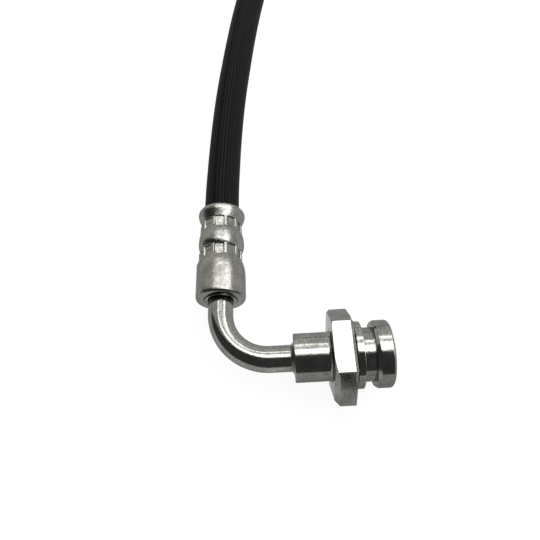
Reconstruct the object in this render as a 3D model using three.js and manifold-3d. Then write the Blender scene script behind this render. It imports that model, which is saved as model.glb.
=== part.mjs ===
// Hydraulic hose assembly: a braided rubber hose with a crimped ferrule at each end, a brazed
// 90 degree steel tube with a hexagonal female port at one end, and a banjo eye at the other.
// Millimetres, +Z up. The origin is the middle of the hexagon's lower flat, on the surface that
// the assembly lies on. +X runs along the port's axis towards its mouth, +Y along the hose.
import * as THREE from "three";
import { mergeVertices } from "three/addons/utils/BufferGeometryUtils.js";
import Module from "manifold-3d";

const wasm = await Module();
wasm.setup();

// Driving dimensions.
const hexAcrossFlats = 22;
const axisHeight = hexAcrossFlats / 2;
const hexHalfThickness = 2.7;
const collarRadius = 6.35;
const collarStart = -12.1; // the collar's open end, on the port's axis
const pilotRadius = 8.65; // the ring that centres the bracket's hole
const pilotEnd = 5.15;
const grooveRadius = 6.95; // the neck that the retaining clip slides onto
const grooveEnd = 8.1;
const flangeRadius = 8.7;
const portMouth = 12.6;
const threadRadius = 4.46; // minor radius of the M10 x 1 thread
const threadBottom = -0.4;
const seatReliefRadius = 8.8; // inside it the bracket's seat is cut back a little
const seatReliefDepth = 0.1;
const tubeRadius = 3.5;
const tubeBore = 2.3;
const tubeInPort = -4.4; // where the tube ends inside the collar, on the port's axis
const tubeInInsert = 2.7; // where it ends inside the near insert, from the ferrule's closed end
const bendRadius = 13.3;
const bendCorner = -31.5; // where the port's axis and the hose's axis cross
const hoseTilt = THREE.MathUtils.degToRad(4.8); // the near ferrule rests on its bell
const ferruleStart = 17.4; // from the bend's corner to the ferrule's closed end
const ferruleLength = 30.3; // to where the hose runs free
const bellMouth = 29.5;
const jawCount = 10;
const hoseBore = 1.6;
const hoseRadius = 5.3;
const hoseEnd = 6.6; // the cut end of the hose, from the ferrule's closed end
const socketRadius = 3.65; // brazing clearance round the tube's end
const socketMouth = 1.1; // where the socket starts inside an insert
const brazeGap = 0.1;
const hoseDirection = new THREE.Vector3(0, Math.cos(hoseTilt), -Math.sin(hoseTilt));
const nearFerrule = new THREE.Vector3(bendCorner, 0, axisHeight)
  .addScaledVector(hoseDirection, ferruleStart); // closed end of the near ferrule
const farFerrule = new THREE.Vector3(91.5, 175, 7.2); // closed end of the far ferrule
const farDirection = new THREE.Vector3(0, 1, 0);
const eyeOffset = 17.5; // from the far ferrule's closed end to the banjo bolt's axis
const eyeRadius = 9.5;
const boltHoleRadius = 5.05; // clearance for an M10 banjo bolt
const sealRadius = 7.6; // the raised lands that the sealing washers bear on
const sealHalfHeight = 5;

const roundSides = 36;
const ferruleSides = 3 * jawCount;
const smallSides = 16;
const tubeSides = 12;
const hoseSides = 10;
const freeStep = 21; // length of hose between two rings of its free stretch

// The hose's layers: inner and outer radius of each where it lies free.
const hoseLayers = {
  hose_liner: [1.6, 2.5],
  hose_inner_braid: [2.6, 3.0],
  hose_cushion: [3.1, 3.5],
  hose_outer_braid: [3.6, 4.0],
  hose_cover: [4.1, 5.3],
};

// Crimped ferrule, from its closed end: distance, the shell's inner radius, the hose's radius.
const crimpStations = [
  [1.2, 5.95, 5.5],
  [9.0, 5.85, 5.5],
  [12.6, 4.6, 4.45],
  [15.6, 4.6, 4.45],
  [17.0, 5.55, 5.3],
  [20.4, 5.55, 5.3],
  [21.8, 4.6, 4.45],
  [25.0, 4.6, 4.45],
  [27.0, 5.55, 5.3],
  [30.3, 5.45, 5.3],
];
const crimpBands = [
  [12.4, 15.8],
  [21.6, 25.2],
];

// The hose's centreline from the near ferrule's mouth to the far ferrule's mouth: off the bell,
// down to the surface, then a wide turn back, lying flat.
const hoseRoute = [
  [-31.4, 55, 6.42],
  [-31.0, 64, 5.87],
  [-30.4, 74, 5.52],
  [-29.5, 85, 5.38],
  [-28.2, 97, 5.35],
  [-26.4, 110, 5.35],
  [-24.1, 125, 5.35],
  [-21.4, 140, 5.35],
  [-18.2, 155, 5.35],
  [-14.8, 171, 5.35],
  [-11.4, 187, 5.35],
  [-7.9, 202.5, 5.35],
  [-4.8, 216.5, 5.35],
  [-1.4, 230.8, 5.35],
  [4.6, 245, 5.35],
  [14.8, 257, 5.35],
  [29.0, 264.6, 5.35],
  [45.0, 267.2, 5.35],
  [61.0, 264.3, 5.35],
  [75.0, 256, 5.35],
  [85.2, 243.6, 5.45],
  [90.6, 228.5, 6.1],
  [91.5, 213, 7.05],
];

const colours = {
  plated_steel: { color: 0x9a9891, roughness: 0.28, metalness: 1 },
  turned_steel: { color: 0x96948d, roughness: 0.22, metalness: 1 },
  braze: { color: 0x8f7f5a, roughness: 0.45, metalness: 1 },
  rubber: { color: 0x191a1a, roughness: 0.62, metalness: 0 },
  braid: { color: 0xc9c3ae, roughness: 0.85, metalness: 0 },
};

const point = ([x, y, z]) => new THREE.Vector3(x, y, z);

// A closed three.js geometry as a solid that can be joined and cut.
function solid(geometry) {
  const bare = geometry.clone();
  bare.deleteAttribute("normal");
  bare.deleteAttribute("uv");
  const weldDistance = 1e-4;
  const merged = mergeVertices(bare, weldDistance);
  return new wasm.Manifold(
    new wasm.Mesh({
      numProp: 3,
      vertProperties: merged.attributes.position.array,
      triVerts: new Uint32Array(merged.index.array),
    }),
  );
}

// A solid as a three.js geometry again, with flat shading.
function geometryOf(body) {
  const { vertProperties, triVerts } = body.getMesh();
  const geometry = new THREE.BufferGeometry();
  geometry.setAttribute("position", new THREE.BufferAttribute(vertProperties, 3));
  geometry.setIndex(new THREE.BufferAttribute(triVerts, 1));
  const flat = geometry.toNonIndexed();
  flat.computeVertexNormals();
  return flat;
}

// A body of revolution about Y, from a closed outline of [radius, height] points. The outline may
// run either way round, and closes on its first point.
function revolve(outline, sides = roundSides) {
  const points = outline.map(([radius, height]) => new THREE.Vector2(radius, height));
  if (THREE.ShapeUtils.isClockWise(points)) points.reverse();
  points.push(points[0].clone());
  return new THREE.LatheGeometry(points, sides);
}

// A prism along Y, from an outline in the XZ plane, between two heights.
function prism(shape, low, high) {
  const geometry = new THREE.ExtrudeGeometry(shape, { depth: high - low, bevelEnabled: false });
  return geometry.rotateX(-Math.PI / 2).translate(0, low, 0);
}

function polygon(radius, sides, turn = 0) {
  const corners = [];
  for (let i = 0; i < sides; i++) {
    const angle = turn + (2 * Math.PI * i) / sides;
    corners.push(new THREE.Vector2(radius * Math.cos(angle), radius * Math.sin(angle)));
  }
  return corners;
}

function ringShape(outerRadius, innerRadius, sides) {
  const shape = new THREE.Shape(polygon(outerRadius, sides));
  shape.holes.push(new THREE.Path(polygon(innerRadius, sides)));
  return shape;
}

// A curve whose extrusion steps fall at chosen lengths along another curve.
class SteppedCurve extends THREE.Curve {
  constructor(curve, lengths) {
    super();
    this.curve = curve;
    this.fractions = lengths.map((length) => length / lengths.at(-1));
  }

  fractionAt(u) {
    const place = u * (this.fractions.length - 1);
    const step = Math.min(Math.floor(place), this.fractions.length - 2);
    return THREE.MathUtils.lerp(this.fractions[step], this.fractions[step + 1], place - step);
  }

  getPointAt(u) {
    return this.curve.getPointAt(this.fractionAt(u));
  }

  getTangentAt(u) {
    return this.curve.getTangentAt(this.fractionAt(u));
  }
}

function extrudeAlong(curve, lengths, shape) {
  const extrudePath = new SteppedCurve(curve, lengths);
  return new THREE.ExtrudeGeometry(shape, { steps: lengths.length - 1, extrudePath });
}

// Female port, one turned piece about Y with its mouth up: collar, hexagon, bracket pilot, clip
// groove and flange, bored for the thread, the flared seat and the tube.
function portFitting() {
  const filletRadius = 0.8;
  const outline = [
    [0, collarStart],
    [collarRadius - 0.4, collarStart],
    [collarRadius, collarStart + 0.4],
  ];
  for (let i = 0; i <= 4; i++) {
    const angle = (Math.PI / 2) * (i / 4);
    const radius = collarRadius + filletRadius * (1 - Math.cos(angle));
    outline.push([radius, -hexHalfThickness - filletRadius * (1 - Math.sin(angle))]);
  }
  outline.push(
    [collarRadius + filletRadius, 0],
    [8, hexHalfThickness + 0.25],
    [pilotRadius, hexHalfThickness + 0.65],
    [pilotRadius, pilotEnd - 0.2],
    [pilotRadius - 0.2, pilotEnd],
    [grooveRadius, pilotEnd],
    [grooveRadius, grooveEnd],
    [flangeRadius - 0.5, grooveEnd],
    [flangeRadius, grooveEnd + 0.8],
    [flangeRadius, portMouth - 0.6],
    [flangeRadius - 0.6, portMouth],
    [0, portMouth],
  );
  const hexagon = new THREE.Shape(polygon(hexAcrossFlats / Math.sqrt(3), 6));
  const chamfers = [
    [0, -hexHalfThickness],
    [11.3, -hexHalfThickness],
    [13, -1.2],
    [13, 1.8],
    [10.9, hexHalfThickness],
    [seatReliefRadius, hexHalfThickness],
    [seatReliefRadius, hexHalfThickness - seatReliefDepth],
    [0, hexHalfThickness - seatReliefDepth],
  ];
  const socketEnd = tubeInPort + 0.3;
  const seatBottom = -2.1; // the flared pipe's seat widens from here to the thread
  const bore = [
    [0, collarStart - 1],
    [socketRadius, collarStart - 1],
    [socketRadius, socketEnd],
    [hoseBore, socketEnd],
    [hoseBore, seatBottom],
    [threadRadius, threadBottom],
    [threadRadius, portMouth - 0.7],
    [threadRadius + 0.7, portMouth],
    [threadRadius + 1.7, portMouth + 1],
    [0, portMouth + 1],
  ];
  return geometryOf(
    solid(prism(hexagon, -hexHalfThickness - 1, hexHalfThickness + 1))
      .intersect(solid(revolve(chamfers)))
      .add(solid(revolve(outline)))
      .subtract(solid(revolve(bore))),
  );
}

// Fillet of braze round a tube where it enters a hole, about Y, standing out towards -Y.
function brazeRing(face, outerRadius, height) {
  const inner = tubeRadius + brazeGap;
  const hollow = inner + 0.4 * (outerRadius - inner);
  const outline = [
    [inner, face],
    [outerRadius, face],
    [hollow, face - 0.45 * height],
    [inner, face - height],
  ];
  return revolve(outline, smallSides);
}

// Bent tube: straight out of the port's collar, round the bend, and into the near insert.
class ElbowCurve extends THREE.Curve {
  constructor(start, end) {
    super();
    this.corner = new THREE.Vector3(bendCorner, 0, axisHeight);
    this.legs = [start - bendCorner - bendRadius, (Math.PI / 2) * bendRadius, end - bendRadius];
  }

  getPoint(t) {
    const [portLeg, bend, hoseLeg] = this.legs;
    const along = t * (portLeg + bend + hoseLeg);
    const angle = THREE.MathUtils.clamp((along - portLeg) / bendRadius, 0, Math.PI / 2);
    const x = bendRadius * (1 - Math.sin(angle)) + Math.max(portLeg - along, 0);
    const y = bendRadius * (1 - Math.cos(angle)) + Math.max(along - portLeg - bend, 0);
    return this.corner
      .clone()
      .addScaledVector(new THREE.Vector3(1, 0, 0), x)
      .addScaledVector(hoseDirection, y);
  }
}

function elbowTube() {
  const curve = new ElbowCurve(tubeInPort, ferruleStart + tubeInInsert);
  const [portLeg, bend, hoseLeg] = curve.legs;
  const bendSteps = 9;
  const lengths = [0];
  for (let i = 0; i <= bendSteps; i++) lengths.push(portLeg + (bend * i) / bendSteps);
  lengths.push(portLeg + bend + hoseLeg);
  return extrudeAlong(curve, lengths, ringShape(tubeRadius, tubeBore, tubeSides));
}

// Section of the crimping jaws closed round a ferrule: a flat for each jaw, with a ridge of metal
// left standing between two jaws.
function jawRing() {
  const firstRidge = THREE.MathUtils.degToRad(20); // from +Z towards +X
  const jawCorners = [
    [6.6, -14.5],
    [5.78, -12.5],
    [5.78, 12.5],
    [6.6, 14.5],
  ];
  const corners = [];
  for (let jaw = 0; jaw < jawCount; jaw++) {
    const middle = firstRidge - Math.PI / 2 + ((jaw + 0.5) * 2 * Math.PI) / jawCount;
    for (const [radius, degrees] of jawCorners) {
      const angle = middle + THREE.MathUtils.degToRad(degrees);
      corners.push(new THREE.Vector2(radius * Math.cos(angle), radius * Math.sin(angle)));
    }
  }
  const ring = new THREE.Shape(polygon(8, jawCount));
  ring.holes.push(new THREE.Path(corners));
  return ring;
}

// Crimped shell about Y, from its closed end up: body, two crimped bands and a bell.
function ferrule() {
  const inner = crimpStations
    .map(([height, shell]) => [shell, Math.min(height, bellMouth)])
    .reverse();
  const outline = [
    [6.8, 0],
    [7.1, 0.35],
    [7.1, 7.5],
    [6.9, 10],
    [6.15, 12.4],
    [6.15, 15.7],
    [6.55, 16.5],
    [6.75, 18.0],
    [6.6, 20.3],
    [6.15, 21.6],
    [6.05, 25.1],
    [6.6, 26.6],
    [7.08, 27.8],
    [7.1, 28.5],
    [6.75, 29.1],
    [5.75, bellMouth],
    ...inner,
    [4.7, 1.2],
    [4.7, 0],
  ];
  const jaws = jawRing();
  let shell = solid(revolve(outline, ferruleSides));
  for (const [low, high] of crimpBands) shell = shell.subtract(solid(prism(jaws, low, high)));
  return geometryOf(shell);
}

// Insert about Y: a hub held by the ferrule's lip, with a socket for the tube, and a barbed tail
// that the hose's liner is crimped onto.
function hoseInsert() {
  const hubStart = -0.45;
  const hubRadius = 4.55;
  const recessRadius = 4.05;
  const flangeRadius = 5.75;
  const flange = [1.35, 4.9];
  const tailEnd = 27;
  const barbs = 5;
  const barbPitch = 4.1;
  const crest = 1.8;
  const root = 1.6;
  const bore = 1.05;
  const outline = [
    [recessRadius, hubStart],
    [hubRadius, hubStart],
    [hubRadius, flange[0]],
    [flangeRadius, flange[0]],
    [flangeRadius, flange[1]],
    [root, flange[1]],
  ];
  for (let i = 0; i < barbs; i++) {
    const start = flange[1] + 1.2 + i * barbPitch;
    outline.push([root, start], [crest, start + 0.1]);
  }
  const socketEnd = tubeInInsert + 0.3;
  outline.push([1.4, tailEnd], [bore, tailEnd], [bore, socketEnd], [socketRadius, socketEnd]);
  outline.push([socketRadius, socketMouth], [recessRadius, socketMouth]);
  return revolve(outline, smallSides);
}

// Banjo eye: a spigot brazed into the far insert, a neck, and an eye about Z with a raised land
// on each side for its sealing washers.
function banjoEye() {
  const rim = sealHalfHeight - 0.5;
  const upper = [
    [eyeRadius, rim - 0.6],
    [eyeRadius - 0.6, rim],
    [sealRadius, rim],
    [sealRadius, sealHalfHeight],
    [boltHoleRadius + 0.3, sealHalfHeight],
    [boltHoleRadius, sealHalfHeight - 0.3],
  ];
  const lower = upper.map(([radius, height]) => [radius, -height]).reverse();
  const eye = revolve([...lower, ...upper]).rotateX(Math.PI / 2).translate(0, -eyeOffset, 0);
  const neckOutline = [
    [0, tubeInInsert],
    [tubeRadius, tubeInInsert],
    [tubeRadius, -1.8],
    [4.5, -3],
    [4.5, -10],
    [0, -11.6],
  ];
  const passageRadius = 1.5;
  const passageOutline = [
    [0, tubeInInsert + 1],
    [passageRadius, tubeInInsert + 1],
    [passageRadius, boltHoleRadius - eyeOffset - 1],
    [0, boltHoleRadius - eyeOffset - 1],
  ];
  const neck = solid(revolve(neckOutline));
  const passage = solid(revolve(passageOutline, smallSides));
  return geometryOf(neck.add(solid(eye)).subtract(passage));
}

// The hose's centreline, from its cut end inside the near ferrule to its cut end inside the far
// one.
function hoseCurve() {
  const near = (height) => nearFerrule.clone().addScaledVector(hoseDirection, height);
  const far = (height) => farFerrule.clone().addScaledVector(farDirection, height);
  const inside = [hoseEnd, 12, 18, 24, ferruleLength];
  return new THREE.CatmullRomCurve3(
    [...inside.map(near), ...hoseRoute.map(point), ...inside.map(far).reverse()],
    false,
    "centripetal",
  );
}

// The lengths along the centreline at which the hose's section is placed.
function hoseSteps(curve) {
  const total = curve.getLength();
  const crimped = crimpStations.map(([height]) => height - hoseEnd).filter((at) => at > 0);
  const mouth = ferruleLength - hoseEnd;
  const freeSteps = Math.round((total - 2 * mouth) / freeStep);
  const free = [];
  for (let i = 1; i < freeSteps; i++) free.push(mouth + ((total - 2 * mouth) * i) / freeSteps);
  return [0, ...crimped, ...free, ...crimped.map((at) => total - at).reverse(), total];
}

// The hose's outer radius at a height inside a ferrule.
function squeezedRadius(height) {
  for (let i = 1; i < crimpStations.length; i++) {
    const [low, , lowRadius] = crimpStations[i - 1];
    const [high, , highRadius] = crimpStations[i];
    if (height <= high)
      return THREE.MathUtils.mapLinear(height, low, high, lowRadius, highRadius);
  }
  return hoseRadius;
}

// Moves the points of a hose layer inside one ferrule towards its axis, as the crimp does. The
// layer nearest the insert moves least.
function squeeze(geometry, ferruleEnd, direction) {
  const positions = geometry.attributes.position;
  const insertClearance = 1.95;
  const vertex = new THREE.Vector3();
  for (let i = 0; i < positions.count; i++) {
    vertex.fromBufferAttribute(positions, i).sub(ferruleEnd);
    const height = vertex.dot(direction);
    const radial = vertex.clone().addScaledVector(direction, -height);
    if (height > ferruleLength + 0.01 || radial.length() > 2 * hoseRadius) continue;
    const radius = THREE.MathUtils.mapLinear(
      radial.length(), hoseBore, hoseRadius, insertClearance, squeezedRadius(height),
    );
    const share = THREE.MathUtils.clamp((ferruleLength - height) / 1.5, 0, 1);
    radial.setLength(THREE.MathUtils.lerp(radial.length(), radius, share));
    vertex.copy(ferruleEnd).addScaledVector(direction, height).add(radial);
    positions.setXYZ(i, vertex.x, vertex.y, vertex.z);
  }
  return geometry;
}

function hoseLayer(curve, lengths, [inner, outer]) {
  const geometry = extrudeAlong(curve, lengths, ringShape(outer, inner, hoseSides));
  squeeze(geometry, nearFerrule, hoseDirection);
  return squeeze(geometry, farFerrule, farDirection);
}

function mesh(name, geometry, look) {
  const made = new THREE.Mesh(geometry, new THREE.MeshStandardMaterial(colours[look]));
  made.name = name;
  return made;
}

// Port end, about local Y, laid along X at the height that puts a hexagon flat on the surface.
function portEnd() {
  const group = new THREE.Group();
  group.add(mesh("port_fitting", portFitting(), "turned_steel"));
  group.add(mesh("port_braze", brazeRing(collarStart - 0.1, 4.9, 0.9), "braze"));
  group.rotation.z = -Math.PI / 2;
  group.position.z = axisHeight;
  return group;
}

function crimpedEnd(side, brazeName) {
  const group = new THREE.Group();
  group.add(mesh(`${side}_ferrule`, ferrule(), "plated_steel"));
  group.add(mesh(`${side}_insert`, hoseInsert(), "turned_steel"));
  group.add(mesh(brazeName, brazeRing(socketMouth - 0.1, 3.98, 0.4), "braze"));
  return group;
}

function hoseAssembly() {
  const assembly = new THREE.Group();
  assembly.add(portEnd());
  assembly.add(mesh("elbow_tube", elbowTube(), "plated_steel"));

  const near = crimpedEnd("near", "tube_braze");
  near.position.copy(nearFerrule);
  near.rotation.x = -hoseTilt;
  assembly.add(near);

  const curve = hoseCurve();
  const lengths = hoseSteps(curve);
  for (const [name, radii] of Object.entries(hoseLayers)) {
    const look = name.includes("braid") ? "braid" : "rubber";
    assembly.add(mesh(name, hoseLayer(curve, lengths, radii), look));
  }

  const far = crimpedEnd("far", "banjo_braze");
  far.add(mesh("banjo_eye", banjoEye(), "turned_steel"));
  far.position.copy(farFerrule);
  assembly.add(far);
  return assembly;
}

export default hoseAssembly();
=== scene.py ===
# Hydraulic hose assembly on a pale floor: the looks of each piece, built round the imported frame.
# Lengths in the tables are in millimetres; every object is made in metres, in the row's frame.
import math

import bmesh
import bpy
from mathutils import Matrix, Vector


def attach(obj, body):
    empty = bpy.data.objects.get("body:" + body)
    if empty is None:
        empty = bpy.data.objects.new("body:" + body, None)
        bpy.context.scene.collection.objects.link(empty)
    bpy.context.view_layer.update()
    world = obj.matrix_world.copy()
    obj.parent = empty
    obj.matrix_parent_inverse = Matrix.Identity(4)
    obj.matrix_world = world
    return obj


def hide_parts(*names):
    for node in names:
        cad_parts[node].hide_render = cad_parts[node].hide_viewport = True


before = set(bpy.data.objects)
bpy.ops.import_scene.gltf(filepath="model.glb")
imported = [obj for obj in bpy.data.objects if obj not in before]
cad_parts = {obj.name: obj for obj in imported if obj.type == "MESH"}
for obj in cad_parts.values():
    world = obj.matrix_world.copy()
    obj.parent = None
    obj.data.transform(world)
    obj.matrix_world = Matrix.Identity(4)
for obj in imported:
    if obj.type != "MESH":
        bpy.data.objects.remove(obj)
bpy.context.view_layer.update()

MM = 0.001
UP = Vector((0, 0, 1))

# Driving dimensions, the same as the part's.
AXIS_HEIGHT = 11.0
HEX_APOTHEM = 11.0
TUBE_RADIUS = 3.5
TUBE_BORE = 2.3
BEND_RADIUS = 13.3
BEND_CORNER = Vector((-31.5, 0, AXIS_HEIGHT))
HOSE_TILT = math.radians(4.8)
HOSE_DIRECTION = Vector((0, math.cos(HOSE_TILT), -math.sin(HOSE_TILT)))
NEAR_FERRULE = BEND_CORNER + 17.4 * HOSE_DIRECTION
FAR_FERRULE = Vector((91.5, 175, 7.2))
FAR_DIRECTION = Vector((0, 1, 0))
FERRULE_LENGTH = 30.3  # to where the hose runs free
BELL_MOUTH = 29.5
JAWS = 10
FIRST_RIDGE = math.radians(20)
HOSE_BORE = 1.6
HOSE_RADIUS = 5.3
HOSE_END = 6.6
EYE_OFFSET = 17.5
EYE_RADIUS = 9.5

# The port, along its axis from the hexagon's middle.
COLLAR_RADIUS = 6.35
COLLAR_END = -12.1
COLLAR_FILLET = 0.8
HEX_HALF = 2.7  # half the hexagon's thickness
HEX_CORNER = 0.3
RING_RADIUS = 8.65
RING_END = 5.15
GROOVE_RADIUS = 6.95
GROOVE_END = 8.1
FLANGE_RADIUS = 8.7
FLANGE_END = 12.45
PORT_BORE = 4.46
TUBE_SOCKET = 3.65
THREAD_PITCH = 1.0
THREAD_DEPTH = 0.5
THREAD_LENGTH = 12.0
THREAD_STEPS = 12  # outline points to a turn of thread

# The ferrule's shell.
SHELL_RADIUS = 7.12  # the widest it gets
JAW_RADIUS = 5.53  # from the axis to a jaw's flat
JAW_HALF_WIDTH = 1.36
BAND_RADIUS = 5.85

# The stage, in metres, with the floor a hair under what rests on it.
FLOOR_SIZE = 6.0
FLOOR_LEVEL = -0.0001
SOFTBOX_HEIGHT = 0.5
BLACK = (0, 0, 0, 1)
WHITE = (1, 1, 1, 1)

# Crimp, from the ferrule's closed end: distance, the shell's inner radius, the hose's radius.
CRIMP = [
    (1.2, 5.95, 5.5),
    (9.0, 5.85, 5.5),
    (12.6, 4.6, 4.45),
    (15.6, 4.6, 4.45),
    (17.0, 5.55, 5.3),
    (20.4, 5.55, 5.3),
    (21.8, 4.6, 4.45),
    (25.0, 4.6, 4.45),
    (27.0, 5.55, 5.3),
    (30.3, 5.45, 5.3),
]

# The hose's centreline between the two ferrules' mouths.
HOSE_ROUTE = [
    (-31.4, 55, 6.42),
    (-31.0, 64, 5.87),
    (-30.4, 74, 5.52),
    (-29.5, 85, 5.38),
    (-28.2, 97, 5.35),
    (-26.4, 110, 5.35),
    (-24.1, 125, 5.35),
    (-21.4, 140, 5.35),
    (-18.2, 155, 5.35),
    (-14.8, 171, 5.35),
    (-11.4, 187, 5.35),
    (-7.9, 202.5, 5.35),
    (-4.8, 216.5, 5.35),
    (-1.4, 230.8, 5.35),
    (4.6, 245, 5.35),
    (14.8, 257, 5.35),
    (29.0, 264.6, 5.35),
    (45.0, 267.2, 5.35),
    (61.0, 264.3, 5.35),
    (75.0, 256, 5.35),
    (85.2, 243.6, 5.45),
    (90.6, 228.5, 6.1),
    (91.5, 213, 7.05),
]


# ---------------------------------------------------------------- camera

LENS = 29.47
CAMERA_PLACE = Vector((-13.92, -23.75, 126.32))
CAMERA_TURN = (66.896, -3.890, -6.960)  # pitch down, yaw, roll, in degrees


def add_camera():
    data = bpy.data.cameras.new("camera")
    data.sensor_width = 36
    data.lens = LENS
    data.clip_start = 0.01
    data.clip_end = 20
    camera = bpy.data.objects.new("camera", data)
    bpy.context.scene.collection.objects.link(camera)
    bpy.context.scene.camera = camera
    pitch, yaw, roll = (math.radians(angle) for angle in CAMERA_TURN)
    forward = Vector(
        (math.sin(yaw) * math.cos(pitch), math.cos(yaw) * math.cos(pitch), -math.sin(pitch))
    )
    level = Vector((math.cos(yaw), -math.sin(yaw), 0))
    steep = level.cross(forward)
    right = level * math.cos(roll) + steep * math.sin(roll)
    upward = steep * math.cos(roll) - level * math.sin(roll)
    place = Matrix((right, upward, -forward)).transposed().to_4x4()
    place.translation = CAMERA_PLACE * MM
    camera.matrix_world = place


add_camera()


# ---------------------------------------------------------------- mesh helpers


def lerp(a, b, share):
    return a + (b - a) * share


def clamp(value, low=0.0, high=1.0):
    return max(low, min(high, value))


def smooth_step(low, high, value):
    share = clamp((value - low) / (high - low))
    return share * share * (3 - 2 * share)


def interpolate(table, at, column=1):
    """Straight-line value of a column of a table at a place in its first column."""
    for low, high in zip(table, table[1:]):
        if at <= high[0]:
            return lerp(low[column], high[column], clamp((at - low[0]) / (high[0] - low[0])))
    return table[-1][column]


def link_mesh(name, points, faces, look, sharp=40):
    """A piece from points in millimetres, shaded smooth but for edges that turn sharply."""
    data = bpy.data.meshes.new(name)
    data.from_pydata([tuple(p * MM) for p in points], [], faces)
    shell = bmesh.new()
    shell.from_mesh(data)
    bmesh.ops.recalc_face_normals(shell, faces=shell.faces)
    shell.to_mesh(data)
    shell.free()
    data.polygons.foreach_set("use_smooth", [True] * len(data.polygons))
    data.set_sharp_from_angle(angle=math.radians(sharp))
    data.materials.append(look)
    piece = bpy.data.objects.new(name, data)
    bpy.context.scene.collection.objects.link(piece)
    return piece


def ring_faces(rings, sides):
    """Quads between rings of points, each ring closed round and the last joined to the first."""
    faces = []
    for i in range(rings):
        here, there = i * sides, ((i + 1) % rings) * sides
        for j in range(sides):
            k = (j + 1) % sides
            faces.append((here + j, here + k, there + k, there + j))
    return faces


def place_rings(name, rings, look, sharp=40):
    sides = len(rings[0])
    points = [point for ring in rings for point in ring]
    return link_mesh(name, points, ring_faces(len(rings), sides), look, sharp)


def stand_for(piece, slot, *nodes):
    """Hides the CAD nodes that a piece is the look of and attaches the piece to the root body; the
    slot is not used.
    """
    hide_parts(*nodes)
    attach(piece, "root")
    return piece


def rounded(outline, steps=4):
    """A closed outline of (radius, height, corner) with each corner turned to an arc."""
    support = 0.06
    path = []
    count = len(outline)
    for i, (radius, height, corner) in enumerate(outline):
        here = Vector((radius, height))
        if corner == 0:
            path.append(here)
            continue
        back = Vector(outline[i - 1][:2]) - here
        ahead = Vector(outline[(i + 1) % count][:2]) - here
        turn = back.angle(-ahead)
        cut = min(corner * math.tan(turn / 2), 0.42 * back.length, 0.42 * ahead.length)
        start = here + back.normalized() * cut
        end = here + ahead.normalized() * cut
        path.append(start + back.normalized() * min(support, 0.05 * back.length))
        for step in range(steps + 1):
            s = step / steps
            path.append(start * (1 - s) ** 2 + here * 2 * s * (1 - s) + end * s * s)
        path.append(end + ahead.normalized() * min(support, 0.05 * ahead.length))
    return path


def about_x(radius, along, angle):
    """A point on the port's axis system: the angle runs from +Z towards +Y."""
    return Vector((along, radius * math.sin(angle), AXIS_HEIGHT + radius * math.cos(angle)))


def about(start, direction):
    """Places (radius, height, angle) about an axis; the angle runs from up towards its right."""
    side = direction.cross(UP).normalized()
    top = side.cross(direction)

    def place(radius, height, angle):
        arm = top * math.cos(angle) + side * math.sin(angle)
        return start + direction * height + radius * arm

    return place


def turned(name, outline, place, look, sides):
    """A body turned from an outline with rounded corners, or from one that varies as it turns."""
    columns = []
    for j in range(sides):
        angle = 2 * math.pi * j / sides
        section = outline(angle) if callable(outline) else outline
        columns.append([place(p[0], p[1], angle) for p in rounded(section)])
    return place_rings(name, [list(ring) for ring in zip(*columns)], look)


# ---------------------------------------------------------------- materials


def add_node(tree, kind, wires=(), **settings):
    node = tree.nodes.new(kind)
    for key, value in settings.items():
        setattr(node, key, value)
    for key, value in dict(wires).items():
        if isinstance(value, bpy.types.NodeSocket):
            tree.links.new(value, node.inputs[key])
        else:
            node.inputs[key].default_value = value
    return node


def new_material(name):
    made = bpy.data.materials.new(name)
    made.use_nodes = True
    return made, made.node_tree, made.node_tree.nodes["Principled BSDF"]


def noise(tree, scale, detail=3.0, roughness=0.5, turn=(0, 0, 0)):
    """Noise in the object's own metres; a scale of three numbers stretches it."""
    where = add_node(tree, "ShaderNodeTexCoord").outputs["Object"]
    stretched = add_node(
        tree, "ShaderNodeMapping", {"Vector": where, "Scale": scale, "Rotation": turn}
    ).outputs["Vector"]
    return add_node(
        tree,
        "ShaderNodeTexNoise",
        {"Vector": stretched, "Scale": 1.0, "Detail": detail, "Roughness": roughness},
    ).outputs["Fac"]


def even_noise(tree, scale, detail=3.0, roughness=0.5):
    return noise(tree, (scale, scale, scale), detail, roughness)


def math_node(tree, operation, first, second):
    return add_node(tree, "ShaderNodeMath", {0: first, 1: second}, operation=operation).outputs[0]


def spread(tree, value, low, high, from_low=0.3, from_high=0.7):
    """A value's range stretched to another; noise stays mostly between 0.3 and 0.7."""
    wires = {"Value": value, "From Min": from_low, "From Max": from_high}
    wires.update({"To Min": low, "To Max": high})
    return add_node(tree, "ShaderNodeMapRange", wires).outputs["Result"]


def blend_colour(tree, share, first, second):
    node = add_node(tree, "ShaderNodeMix", data_type="RGBA")
    for key, value in (("Factor", share), ("A", first), ("B", second)):
        sockets = [s for s in node.inputs if s.name == key]
        socket = sockets[0] if key == "Factor" else next(s for s in sockets if s.type == "RGBA")
        if isinstance(value, bpy.types.NodeSocket):
            tree.links.new(value, socket)
        else:
            socket.default_value = value
    return next(s for s in node.outputs if s.type == "RGBA")


def bump(tree, height, distance, strength=1.0, under=None):
    wires = {"Height": height, "Distance": distance, "Strength": strength}
    if under is not None:
        wires["Normal"] = under
    return add_node(tree, "ShaderNodeBump", wires).outputs["Normal"]


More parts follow.
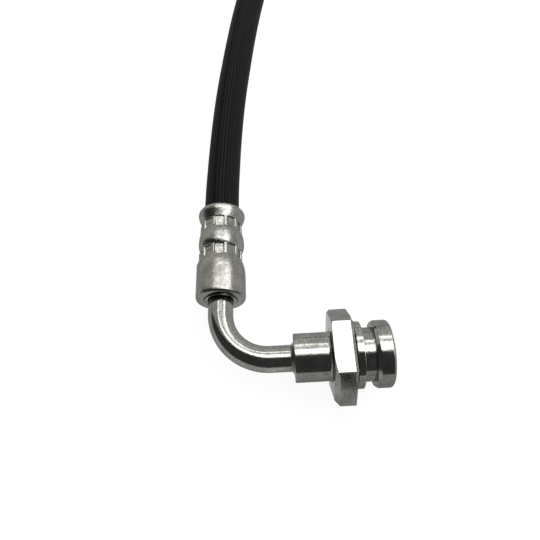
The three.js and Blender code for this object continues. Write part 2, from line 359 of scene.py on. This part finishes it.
def steel(name, pale, dark, rough, mottle, grain, turn=(0, 0, 0)):
    """Plated steel: cloudy colour with dark pits, uneven gloss and fine turning marks."""
    made, tree, shader = new_material(name)
    tone = blend_colour(tree, spread(tree, even_noise(tree, 260, 4), 0, 1), dark, pale)
    pits = spread(tree, even_noise(tree, 3300, 2), 0.6, 0, 0.38, 0.5)
    colour = blend_colour(tree, pits, tone, (0.06, 0.06, 0.056, 1))
    edges = add_node(tree, "ShaderNodeNewGeometry").outputs["Pointiness"]
    worn = spread(tree, edges, 0, 0.5, 0.53, 0.6)
    bright = tuple(min(1.0, 1.7 * c) for c in pale[:3]) + (1.0,)
    tree.links.new(blend_colour(tree, worn, colour, bright), shader.inputs["Base Color"])
    shader.inputs["Metallic"].default_value = 1.0
    shader.inputs["Specular Tint"].default_value = (0.52, 0.52, 0.52, 1)
    gloss = spread(tree, even_noise(tree, 900, 3), rough[0], rough[1])
    tree.links.new(gloss, shader.inputs["Roughness"])
    skin = bump(tree, even_noise(tree, 1700, 4, 0.75), mottle * MM)
    if grain is not None:
        skin = bump(tree, noise(tree, grain, 2, turn=turn), 0.006 * MM, 0.6, skin)
    tree.links.new(skin, shader.inputs["Normal"])
    return made


def brass(name):
    """Braze plated over: dull, dark and lumpy."""
    made, tree, shader = new_material(name)
    flow = even_noise(tree, 700, 4)
    colour = blend_colour(
        tree, spread(tree, flow, 0, 1), (0.09, 0.087, 0.078, 1), (0.2, 0.193, 0.17, 1)
    )
    tree.links.new(colour, shader.inputs["Base Color"])
    shader.inputs["Metallic"].default_value = 1.0
    tree.links.new(spread(tree, flow, 0.45, 0.3), shader.inputs["Roughness"])
    tree.links.new(bump(tree, flow, 0.05 * MM), shader.inputs["Normal"])
    return made


def rubber(name, dark, pale, ribbed=False):
    """Moulded rubber: a dull bloom in patches with dust specks; on the ribbed cover these show
    only through a painted highlight on the ribs' tops and painted shade in the grooves.
    """
    made, tree, shader = new_material(name)
    bloom = even_noise(tree, 160, 5, 0.6)
    dust = spread(tree, even_noise(tree, 3600, 2), 0.35, 1, 0.4, 0.62)
    share = math_node(tree, "MULTIPLY", spread(tree, bloom, 0.5, 1), dust)
    # On the ribbed cover: a painted highlight on the ribs' tops, strongest along the hose's top,
    # and painted shade in the grooves.
    if ribbed:
        painted_rib_light = add_node(tree, "ShaderNodeAttribute", attribute_name="painted_rib_light").outputs["Fac"]
        share = math_node(tree, "MULTIPLY", share, painted_rib_light)
    tree.links.new(blend_colour(tree, share, dark, pale), shader.inputs["Base Color"])
    tree.links.new(spread(tree, bloom, 0.5, 0.66), shader.inputs["Roughness"])
    shader.inputs["Specular IOR Level"].default_value = 0.04
    skin = bump(tree, even_noise(tree, 6500, 2), 0.02 * MM)
    tree.links.new(skin, shader.inputs["Normal"])
    return made


def braid(name):
    """Woven yarn: two crossed sets of strands."""
    made, tree, shader = new_material(name)
    where = add_node(tree, "ShaderNodeTexCoord").outputs["Object"]
    weave = add_node(
        tree, "ShaderNodeTexChecker", {"Vector": where, "Scale": 1200.0}
    ).outputs["Fac"]
    fibres = noise(tree, (4000, 1500, 4000), 3)
    tree.links.new(
        blend_colour(
            tree, spread(tree, fibres, 0, 1), (0.42, 0.38, 0.28, 1), (0.66, 0.62, 0.5, 1)
        ),
        shader.inputs["Base Color"],
    )
    shader.inputs["Roughness"].default_value = 0.85
    skin = bump(tree, fibres, 0.05 * MM)
    tree.links.new(bump(tree, weave, 0.1 * MM, 0.7, skin), shader.inputs["Normal"])
    return made


TURNED = steel(
    "turned_steel_look",
    (0.285, 0.28, 0.262, 1),
    (0.2, 0.196, 0.184, 1),
    (0.07, 0.13),
    0.022,
    (7000, 300, 300),
)
PLATED = steel(
    "plated_steel_look",
    (0.275, 0.27, 0.252, 1),
    (0.185, 0.182, 0.17, 1),
    (0.09, 0.16),
    0.065,
    (300, 5200, 300),
    turn=(HOSE_TILT, 0, 0),
)
TUBE = steel(
    "tube_look",
    (0.3, 0.295, 0.276, 1),
    (0.2, 0.196, 0.185, 1),
    (0.055, 0.11),
    0.022,
    None,
)
BRAZE = brass("braze_look")
COVER = rubber(
    "cover_rubber_look", (0.0012, 0.0013, 0.0013, 1), (0.015, 0.0157, 0.0155, 1), ribbed=True
)
LINER = rubber("liner_rubber_look", (0.01, 0.01, 0.01, 1), (0.03, 0.03, 0.028, 1))
BRAID = braid("braid_look")


# ---------------------------------------------------------------- hose


def centripetal(points, spacing):
    """Points evenly spaced on a centripetal Catmull-Rom curve, ends included, and its length."""
    first = points[0] * 2 - points[1]
    last = points[-1] * 2 - points[-2]
    chain = [first, *points, last]
    fine = []
    for p0, p1, p2, p3 in zip(chain, chain[1:], chain[2:], chain[3:]):
        d0, d1, d2 = (math.sqrt((b - a).length) for a, b in ((p0, p1), (p1, p2), (p2, p3)))
        t1 = ((p1 - p0) / d0 - (p2 - p0) / (d0 + d1) + (p2 - p1) / d1) * d1
        t2 = ((p2 - p1) / d1 - (p3 - p1) / (d1 + d2) + (p3 - p2) / d2) * d1
        c2 = 3 * (p2 - p1) - 2 * t1 - t2
        c3 = 2 * (p1 - p2) + t1 + t2
        for step in range(24):
            s = step / 24
            fine.append(p1 + t1 * s + c2 * s * s + c3 * s ** 3)
    fine.append(points[-1].copy())
    total = sum((b - a).length for a, b in zip(fine, fine[1:]))
    count = round(total / spacing)
    path, walked, i = [fine[0]], 0.0, 0
    for k in range(1, count):
        target = total * k / count
        while walked + (fine[i + 1] - fine[i]).length < target:
            walked += (fine[i + 1] - fine[i]).length
            i += 1
        share = (target - walked) / (fine[i + 1] - fine[i]).length
        path.append(fine[i].lerp(fine[i + 1], share))
    path.append(fine[-1])
    return path, total


def hose_path(spacing):
    inside = (HOSE_END, 12, 18, 24, FERRULE_LENGTH)
    near = [NEAR_FERRULE + HOSE_DIRECTION * height for height in inside]
    far = [FAR_FERRULE + FAR_DIRECTION * height for height in inside]
    route = [Vector(place) for place in HOSE_ROUTE]
    return centripetal([*near, *route, *reversed(far)], spacing)


def squeezed(radius, height):
    """A radius of the hose where the ferrule crimps it, at a height inside the ferrule."""
    share = clamp((FERRULE_LENGTH - height) / 1.5)
    outer = interpolate(CRIMP, height, 2)
    pressed = lerp(1.95, outer, (radius - HOSE_BORE) / (HOSE_RADIUS - HOSE_BORE))
    return lerp(radius, pressed, share)


def layer_radius(radius, at, total):
    height = HOSE_END + min(at, total - at)
    return squeezed(radius, height) if height < FERRULE_LENGTH else radius


def rib(angle):
    """Height of the cover's surface: ribs all round, but for a smooth strip on its left that a
    groove bounds on each side, and a nearly smooth one on its right."""
    strip = (math.radians(-88), math.radians(-23))
    groove = math.radians(2.6)
    ribs = 31
    turn = math.degrees(angle)
    worn = smooth_step(22, 36, turn) * (1 - smooth_step(84, 96, turn))
    relief = lerp(0.085, 0.02, worn) * (math.cos(ribs * angle) - 1)
    if strip[0] < angle < strip[1]:
        relief = -0.03
    for edge in strip:
        relief -= 0.2 * math.exp(-(((angle - edge) / groove) ** 2))
    return relief


def hose_layer(name, inner, outer, look, spacing, sides, ribbed=False):
    path, total = hose_path(spacing)
    angles = [-math.pi + 2 * math.pi * j / sides for j in range(sides)]
    outside, inside = [], []
    for i, centre in enumerate(path):
        tangent = (path[min(i + 1, len(path) - 1)] - path[max(i - 1, 0)]).normalized()
        side = tangent.cross(UP).normalized()
        top = side.cross(tangent)
        at = total * i / (len(path) - 1)
        wide, narrow = layer_radius(outer, at, total), layer_radius(inner, at, total)
        out, in_ = [], []
        for angle in angles:
            arm = top * math.cos(angle) + side * math.sin(angle)
            out.append(centre + arm * (wide + (rib(angle) if ribbed else 0)))
            in_.append(centre + arm * narrow)
        outside.append(out)
        inside.append(in_)
    tube = place_rings(name, outside + inside[::-1], look, sharp=60)
    if ribbed:
        # Painted light stored for the cover's colour: a painted highlight on the ribs' tops,
        # strongest along the top of the hose, and painted shade in the grooves.
        tops = []
        for angle in angles:
            top_highlight = math.exp(-(((math.degrees(angle) - 6) / 13) ** 2))
            tops.append(clamp(1 + rib(angle) / 0.12) * (0.6 + 0.7 * top_highlight))
        painted_rib_light = tube.data.attributes.new("painted_rib_light", "FLOAT", "POINT")
        painted_rib_light.data.foreach_set("value", tops * len(path) + [0.0] * (sides * len(path)))
    return tube


HOSE_LAYERS = {
    "liner": (1.6, 2.5, LINER, "liner_rubber"),
    "inner_braid": (2.6, 3.0, BRAID, "braid"),
    "cushion": (3.1, 3.5, LINER, "liner_rubber"),
    "outer_braid": (3.6, 4.0, BRAID, "braid"),
}

hose = hose_layer("hose_cover_ribbed", 4.1, HOSE_RADIUS, COVER, 1.0, 264, ribbed=True)
stand_for(hose, "cover_rubber", "hose_cover")
for layer, (inner, outer, look, slot) in HOSE_LAYERS.items():
    tube = hose_layer(f"hose_{layer}_fine", inner, outer, look, 3.0, 32)
    stand_for(tube, slot, f"hose_{layer}")


# ---------------------------------------------------------------- port


def hexagon_radius(angle):
    """Distance from the axis to the hexagon's side, with a small radius at each corner."""
    sector = math.radians(60)
    half = math.radians(30)
    turn = abs((angle + sector / 2) % sector - sector / 2)
    reach = (HEX_APOTHEM - HEX_CORNER) / math.cos(half)
    off = half - turn
    flat = HEX_APOTHEM / math.cos(turn)
    if off > math.atan(HEX_CORNER * math.tan(half) / HEX_APOTHEM):
        return flat
    arc = math.sqrt(HEX_CORNER**2 - (reach * math.sin(off)) ** 2)
    return min(flat, reach * math.cos(off) + arc)


# The uneven chamfer on the hexagon's collar side: degrees from +Z towards +Y, depth.
CHAMFER = [
    (-180, 0.6),
    (-150, 0.95),
    (-120, 1.05),
    (-90, 1.3),
    (-60, 1.2),
    (-36, 0.95),
    (-32, 0.7),
    (-28, 0.52),
    (-22, 0.26),
    (-15, 0.1),
    (-6, 0.08),
    (27, 0.08),
    (30, 0.4),
    (40, 0.2),
    (80, 0.25),
    (86, 0.5),
    (90, 0.75),
    (120, 0.4),
    (150, 0.8),
    (180, 0.6),
]


def port_outline(angle):
    edge = hexagon_radius(angle)
    turn = (math.degrees(angle) + 180) % 360 - 180
    left_depth = interpolate(CHAMFER, turn)
    left_start = edge - 1.15 * left_depth
    upward = 1 - smooth_step(38, 52, abs(turn))
    right_depth = lerp(0.12, 0.7, upward)
    right_start = edge - 0.8 * right_depth
    fillet_start = -HEX_HALF - COLLAR_FILLET
    outline = [(TUBE_SOCKET, COLLAR_END, 0.08), (COLLAR_RADIUS, COLLAR_END, 0.3)]
    for i in range(10):
        a = math.radians(10 * i)
        radius = COLLAR_RADIUS + COLLAR_FILLET * (1 - math.cos(a))
        outline.append((radius, fillet_start + COLLAR_FILLET * math.sin(a), 0))
    outline += [
        (left_start, -HEX_HALF, 0.1),
        (edge, -HEX_HALF + left_depth, 0.1),
        (edge, HEX_HALF - right_depth, 0.1),
        (right_start, HEX_HALF, 0.08),
        # A shallow relief round the ring, then the ring, the clip's groove and the flange.
        (8.8, HEX_HALF, 0.02),
        (8.8, 2.6, 0.02),
        (7.97, 2.6, 0.05),
        (8.0, 2.95, 0.1),
        (RING_RADIUS, 3.35, 0.1),
        (RING_RADIUS, RING_END, 0.2),
        (GROOVE_RADIUS, RING_END, 0.12),
        (GROOVE_RADIUS, GROOVE_END, 0.12),
        (8.2, GROOVE_END, 0.1),
        (FLANGE_RADIUS, 8.9, 0.15),
        (FLANGE_RADIUS, 11.95, 0.3),
        (8.3, FLANGE_END, 0.2),
        (5.2, FLANGE_END, 0.08),
    ]
    for i in range(int(THREAD_LENGTH) * THREAD_STEPS + 1):
        along = THREAD_LENGTH - i / THREAD_STEPS
        depth = abs(((along / THREAD_PITCH + angle / (2 * math.pi)) % 1) * 2 - 1)
        fade = clamp((along - 0.2) / 1.2)
        opening = max(0.0, along - 11.9)
        crest = THREAD_DEPTH * fade * smooth_step(0.1, 0.9, depth)
        outline.append((PORT_BORE + opening + crest, along, 0))
    outline += [
        (PORT_BORE, -0.4, 0.05),
        (1.6, -2.1, 0.1),
        (1.6, -4.1, 0.05),
        (TUBE_SOCKET, -4.1, 0.05),
    ]
    return outline


def port():
    # Columns every 2.5 degrees, and closer together round the hexagon's six corners.
    near_corner = (-0.68, -0.45, -0.22, 0.0, 0.22, 0.45, 0.68)
    degrees = {2.5 * i for i in range(144)} - {30 + 60 * i for i in range(6)}
    degrees |= {(30 + 60 * i + off) % 360 for i in range(6) for off in near_corner}
    angles = [math.radians(d) for d in sorted(degrees)]
    columns = [[about_x(p[0], p[1], a) for p in rounded(port_outline(a))] for a in angles]
    rings = [list(ring) for ring in zip(*columns)]
    return place_rings("port_body", rings, TURNED, sharp=35)


stand_for(port(), "turned_steel", "port_fitting")


def braze_fillet(name, place, face, outer, height, node):
    """Braze drawn into the joint: a hollow fillet."""
    inner = TUBE_RADIUS + 0.02
    outline = [(inner, face + 0.1, 0), (outer, face + 0.1, 0), (outer, face, 0)]
    for i in range(1, 8):
        s = math.radians(90 * i / 7)
        outline.append(
            (outer - (outer - inner) * math.sin(s), face - height * (1 - math.cos(s)), 0)
        )
    piece = turned(name, outline, place, BRAZE, sides=72)
    return stand_for(piece, "braze", node)


braze_fillet("port_braze_fillet", about_x, COLLAR_END, 4.9, 0.9, "port_braze")


# ---------------------------------------------------------------- tube


def elbow():
    """The tube: a straight leg in the port, a quarter bend and a straight leg in the insert."""
    start, end = -4.4, 17.4 + 2.7
    legs = (start - BEND_CORNER.x - BEND_RADIUS, math.pi / 2 * BEND_RADIUS, end - BEND_RADIUS)
    sides, steps = 72, 150
    total = sum(legs)
    port_way = Vector((1, 0, 0))
    out_of_plane = port_way.cross(HOSE_DIRECTION)
    outer, inner = [], []
    for i in range(steps + 1):
        along = total * i / steps
        turn = clamp((along - legs[0]) / BEND_RADIUS, 0, math.pi / 2)
        x = BEND_RADIUS * (1 - math.sin(turn)) + max(legs[0] - along, 0)
        y = BEND_RADIUS * (1 - math.cos(turn)) + max(along - legs[0] - legs[1], 0)
        centre = BEND_CORNER + port_way * x + HOSE_DIRECTION * y
        inward = port_way * math.sin(turn) + HOSE_DIRECTION * math.cos(turn)
        # Bending draws the tube a little flat across the plane of the bend.
        ovality = 0.025 * math.sin(clamp(turn / (math.pi / 2)) * math.pi)
        ring, bore = [], []
        for j in range(sides):
            angle = 2 * math.pi * j / sides
            wide = out_of_plane * math.sin(angle) * (1 + ovality)
            arm = inward * math.cos(angle) * (1 - ovality) + wide
            ring.append(centre + arm * TUBE_RADIUS)
            bore.append(centre + arm * TUBE_BORE)
        outer.append(ring)
        inner.append(bore)
    return place_rings("elbow_tube_bent", outer + inner[::-1], TUBE, sharp=50)


stand_for(elbow(), "plated_steel", "elbow_tube")


# ---------------------------------------------------------------- ferrules and inserts

# The ferrule's outside before the jaws marked it: distance from its closed end, radius.
FERRULE_OUTSIDE = [
    (0.0, 6.25),
    (0.08, 6.5),
    (0.3, 6.8),
    (0.6, 6.98),
    (1.0, 7.08),
    (1.4, 7.1),
    (7.5, 7.1),
    (9.0, 7.02),
    (10.4, 6.8),
    (11.4, 6.48),
    (12.2, 6.18),
    (12.45, 6.15),
    (15.7, 6.13),
    (15.8, 6.2),
    (16.3, 6.46),
    (16.9, 6.66),
    (17.4, 6.74),
    (18.2, 6.77),
    (19.4, 6.7),
    (20.5, 6.54),
    (21.2, 6.32),
    (21.6, 6.17),
    (21.8, 6.15),
    (25.05, 6.02),
    (25.15, 6.06),
    (25.9, 6.34),
    (26.7, 6.66),
    (27.4, 6.93),
    (28.0, 7.07),
    (28.4, 7.1),
    (28.75, 7.03),
    (29.05, 6.82),
    (29.3, 6.5),
    (29.45, 6.15),
    (29.5, 5.75),
]
BANDS = [(12.4, 15.75), (21.6, 25.1)]
FINS = (0.5, 0.35)


def jaw_mark(angle, height, base):
    """Radius where a jaw has pressed a flat into a crimped band."""
    pitch = 2 * math.pi / JAWS
    off = (angle - FIRST_RIDGE) % pitch - pitch / 2
    pulled = 0.0
    for low, high in BANDS:
        middle, half = (low + high) / 2, (high - low) / 2
        across = abs(off) * BAND_RADIUS
        corner = 0.55 if height < middle else 0.12
        dx = max(across - (JAW_HALF_WIDTH - corner), 0)
        dy = max(abs(height - middle) - (half - corner), 0)
        outside = math.hypot(dx, dy) - corner
        pressed = 1 - smooth_step(-0.16, 0.06, outside)
        flat = min(base, JAW_RADIUS / math.cos(off))
        base = lerp(base, flat, pressed)
        away = max(low - height, height - high, 0)
        if away > 0:
            pulled += 0.07 * math.exp(-((away / 1.3) ** 2))
    # The metal was squeezed out furthest on its left side, where two jaws met.
    from_left = (math.degrees(angle) + 88 + 180) % 360 - 180
    shoulder = smooth_step(7.5, 10.5, height) * (1 - smooth_step(12.2, 12.6, height))
    swell = 0.5 * shoulder * math.exp(-((from_left / 38) ** 2))
    for (low, high), fin in zip(BANDS, FINS):
        entering = smooth_step(low - 0.2, low + 0.4, height)
        leaving = smooth_step(high - 0.4, high, height)
        swell += fin * entering * (1 - leaving) * math.exp(-((from_left / 8) ** 2))
    return min(base - pulled * math.cos(off * JAWS) * 0.6 + swell, SHELL_RADIUS)


def ferrule(name, start, direction, node):
    place = about(start, direction)
    sides = JAWS * 26
    angles = [2 * math.pi * j / sides for j in range(sides)]
    heights = []
    at = 0.0
    while at < BELL_MOUTH:
        heights.append(at)
        fine = any(low - 0.5 < at < high + 0.35 for low, high in BANDS)
        at += 0.09 if fine or at < 1.2 or at > 28.6 else 0.3
    heights.append(BELL_MOUTH)
    rings = []
    for height in heights:
        base = interpolate(FERRULE_OUTSIDE, height)
        rings.append([place(jaw_mark(a, height, base), height, a) for a in angles])
    bore = [(shell, min(height, BELL_MOUTH)) for height, shell, _ in reversed(CRIMP)]
    for radius, height in [*bore, (4.75, 1.2), (4.7, 1.1), (4.7, 0.15), (4.85, 0.0)]:
        rings.append([place(radius, height, a) for a in angles])
    return stand_for(place_rings(name, rings, PLATED, sharp=50), "plated_steel", node)


def insert(name, start, direction, node):
    """A hub that the ferrule closes on, and a shank with five barbs inside the hose."""
    shank = [
        (4.66, -0.12, 0.1),
        (4.66, 1.35, 0.05),
        (5.75, 1.35, 0.15),
        (5.75, 4.9, 0.2),
        (1.62, 4.9, 0.1),
    ]
    for i in range(5):
        at = 6.1 + 4.1 * i
        shank += [(1.6, at - 0.02, 0), (1.82, at + 0.1, 0.03), (1.8, at + 0.5, 0)]
    shank += [(1.6, 26, 0), (1.4, 27, 0.1), (1.05, 27, 0.08), (1.05, 3, 0), (3.55, 3, 0)]
    shank += [(3.55, 1.15, 0.05)]

    def outline(angle):
        # The hub's lip was peened against the tube all round but for its upper side.
        lip = 3.6 + 0.5 * max(0.0, math.cos(angle)) ** 1.5
        return [(lip, -0.12, 0.08), *shank, (lip, 1.1, 0.05)]

    piece = turned(name, outline, about(start, direction), TURNED, sides=72)
    return stand_for(piece, "turned_steel", node)


ferrule("near_ferrule_crimped", NEAR_FERRULE, HOSE_DIRECTION, "near_ferrule")
insert("near_insert_turned", NEAR_FERRULE, HOSE_DIRECTION, "near_insert")
far_ferrule = ferrule("far_ferrule_crimped", FAR_FERRULE, FAR_DIRECTION, "far_ferrule")
far_insert = insert("far_insert_turned", FAR_FERRULE, FAR_DIRECTION, "far_insert")
braze_fillet(
    "tube_braze_fillet", about(NEAR_FERRULE, HOSE_DIRECTION), 1.0, 3.98, 0.5, "tube_braze"
)
banjo_braze = braze_fillet(
    "banjo_braze_fillet", about(FAR_FERRULE, FAR_DIRECTION), 1.0, 3.98, 0.5, "banjo_braze"
)


# ---------------------------------------------------------------- banjo eye


def boolean(piece, other, operation):
    """Joins another mesh to a piece or cuts it away, and removes that mesh."""
    cut = piece.modifiers.new("join", "BOOLEAN")
    cut.operation = operation
    cut.solver = "EXACT"
    cut.object = other
    bpy.context.view_layer.objects.active = piece
    bpy.ops.object.modifier_apply(modifier=cut.name)
    bpy.data.objects.remove(other)


def banjo():
    centre = FAR_FERRULE - FAR_DIRECTION * EYE_OFFSET

    def about_bolt(radius, height, angle):
        return centre + Vector((radius * math.sin(angle), radius * math.cos(angle), height))

    half = [
        (EYE_RADIUS, 4.5, 0.6),
        (8.0, 4.5, 0.15),
        (7.6, 5.0, 0.12),
        (5.05, 5.0, 0.25),
    ]
    lower = [(r, -h, c) for r, h, c in reversed(half)]
    groove = [(5.05, -1.6, 0.1), (5.6, -1.2, 0.2), (5.6, 1.2, 0.2), (5.05, 1.6, 0.1)]
    eye = turned("banjo_eye_forged", [*half, *lower, *groove][::-1], about_bolt, TURNED, 120)
    place = about(FAR_FERRULE, FAR_DIRECTION)
    neck_outline = [
        (3.5, 2.7, 0.2),
        (3.5, -1.8, 0),
        (3.7, -2.3, 0),
        (4.2, -2.8, 0),
        (4.5, -3.3, 0),
        (4.55, -8.0, 0),
        (4.8, -9.4, 0),
        (4.4, -10.8, 0),
        (2.6, -10.9, 0),
        (1.5, -10.9, 0),
        (1.5, 2.7, 0.1),
    ]
    neck = turned("neck", neck_outline, place, TURNED, 72)
    drill_outline = [(0.001, 4, 0), (1.5, 4, 0), (1.5, -13.5, 0), (0.001, -13.5, 0)]
    drill = turned("drill", drill_outline, place, TURNED, 48)
    boolean(eye, neck, "UNION")
    boolean(eye, drill, "DIFFERENCE")
    eye.data.polygons.foreach_set("use_smooth", [True] * len(eye.data.polygons))
    eye.data.set_sharp_from_angle(angle=math.radians(35))
    return stand_for(eye, "turned_steel", "banjo_eye")


banjo_eye = banjo()

_, hose_length = hose_path(1.0)
[tuple(place * MM) for place in hose_path(5.0)[0]]


# ---------------------------------------------------------------- floor and light


def stage_sheet(name, height, corners, faces, colour, radiance):
    """A flat sheet of the stage, lit by its own emission; its shader is returned too."""
    data = bpy.data.meshes.new(name)
    data.from_pydata([(x, y, height) for x, y in corners], [], faces)
    made, _, shader = new_material(name + "_look")
    shader.inputs["Base Color"].default_value = colour
    shader.inputs["Specular IOR Level"].default_value = 0.0
    shader.inputs["Emission Color"].default_value = WHITE
    shader.inputs["Emission Strength"].default_value = radiance
    data.materials.append(made)
    sheet = bpy.data.objects.new(name, data)
    bpy.context.scene.collection.objects.link(sheet)
    return sheet, shader


def floor():
    size = FLOOR_SIZE
    corners = [(-size, -size), (size, -size), (size, size), (-size, size)]
    colour = (0.06, 0.06, 0.06, 1)
    _, shader = stage_sheet("floor", FLOOR_LEVEL, corners, [(0, 1, 2, 3)], colour, 0.94)
    shader.inputs["Roughness"].default_value = 0.9


def glowing_sheet(name, height, corners, faces, radiance):
    """A flat sheet that lights the steel and isn't seen itself."""
    sheet, _ = stage_sheet(name, height, corners, faces, BLACK, radiance)
    sheet.visible_camera = False
    return sheet


def softbox():
    """One large soft light above, its near edge askew, with dimmer panes across its middle."""
    full, half, low, slit = 6.5, 3.6, 1.75, 1.2
    # Columns: x, the near edge's y, then the panes up to the next column: far edge, radiance.
    columns = [
        (-0.19, 0.14, [(0.62, full)]),
        (-0.135, 0.11, [(0.24, full), (0.5, low), (0.62, full)]),
        (0.02, 0.02, [(0.258, full), (0.335, slit), (0.45, half), (0.54, full)]),
        (0.235, -0.05, [(0.24, full), (0.43, low), (0.62, full)]),
        (0.31, -0.1, [(0.62, full)]),
        (0.55, -0.2, []),
    ]
    corners = []
    panes = {full: [], half: [], low: [], slit: []}
    for (left, near_left, spans), (right, near_right, _) in zip(columns, columns[1:]):
        start = (near_left, near_right)
        for far, radiance in spans:
            first = len(corners)
            corners += [(left, start[0]), (right, start[1]), (right, far), (left, far)]
            panes[radiance].append(tuple(range(first, first + 4)))
            start = (far, far)
    for radiance, faces in panes.items():
        glowing_sheet(f"softbox_{faces[0][0]}", SOFTBOX_HEIGHT, corners, faces, radiance)


def reflected_card(name, height, x_range, y_range, radiance):
    """A card just above the floor that only the steel's reflections show."""
    (left, right), (near, far) = x_range, y_range
    corners = [(left, near), (right, near), (right, far), (left, far)]
    card = glowing_sheet(name, height, corners, [(0, 1, 2, 3)], radiance)
    card.visible_diffuse = False
    card.visible_shadow = False


def surroundings():
    """Pale walls, and a dark side of the room towards -Y that the steel reflects."""
    world = bpy.data.worlds.new("studio")
    bpy.context.scene.world = world
    world.use_nodes = True
    tree = world.node_tree
    background = tree.nodes["Background"]
    where = add_node(tree, "ShaderNodeTexCoord").outputs["Generated"]
    parts = add_node(tree, "ShaderNodeSeparateXYZ", {"Vector": where})
    east, north, up = (parts.outputs[axis] for axis in "XYZ")
    # The dark side narrows to the left and to the right of straight back.
    to_left = math_node(tree, "MAXIMUM", math_node(tree, "MULTIPLY", east, -0.46), 0)
    to_right = math_node(tree, "MAXIMUM", math_node(tree, "SUBTRACT", east, 0.3), 0)
    inwards = math_node(tree, "SUBTRACT", north, to_left)
    inwards = math_node(tree, "ADD", inwards, math_node(tree, "MULTIPLY", to_right, 1.5))
    behind = spread(tree, inwards, 1, 0, -0.05, 0.0)
    above = spread(tree, up, 0, 1, 0.04, 0.08)
    dark = math_node(tree, "MULTIPLY", behind, above)
    ahead = spread(tree, north, 0, 1, 0.35, 0.85)
    pale = blend_colour(tree, ahead, (0.88, 0.88, 0.85, 1), (1.2, 1.2, 1.16, 1))
    walls = blend_colour(tree, dark, pale, (0.105, 0.11, 0.11, 1))
    # The camera itself sees a plain pale backdrop.
    seen = add_node(tree, "ShaderNodeLightPath").outputs["Is Camera Ray"]
    shown = blend_colour(tree, seen, walls, (0.9, 0.9, 0.9, 1))
    tree.links.new(shown, background.inputs["Color"])


floor()
softbox()
# Sheets seen only in the steel: the grey one paints an even, dimmer reflection of the floor
# without its shadows; the dark one paints a dark reflection into the top of the hexagon's near
# flat.
reflected_card("grey_card", -0.00005, (-0.013, 0.6), (-0.6, 0.008), 0.72)
reflected_card("dark_card", -0.00002, (0.0035, 0.0118), (-0.2, -0.0515), 0.01)
surroundings()
bpy.context.scene.view_settings.view_transform = "Standard"
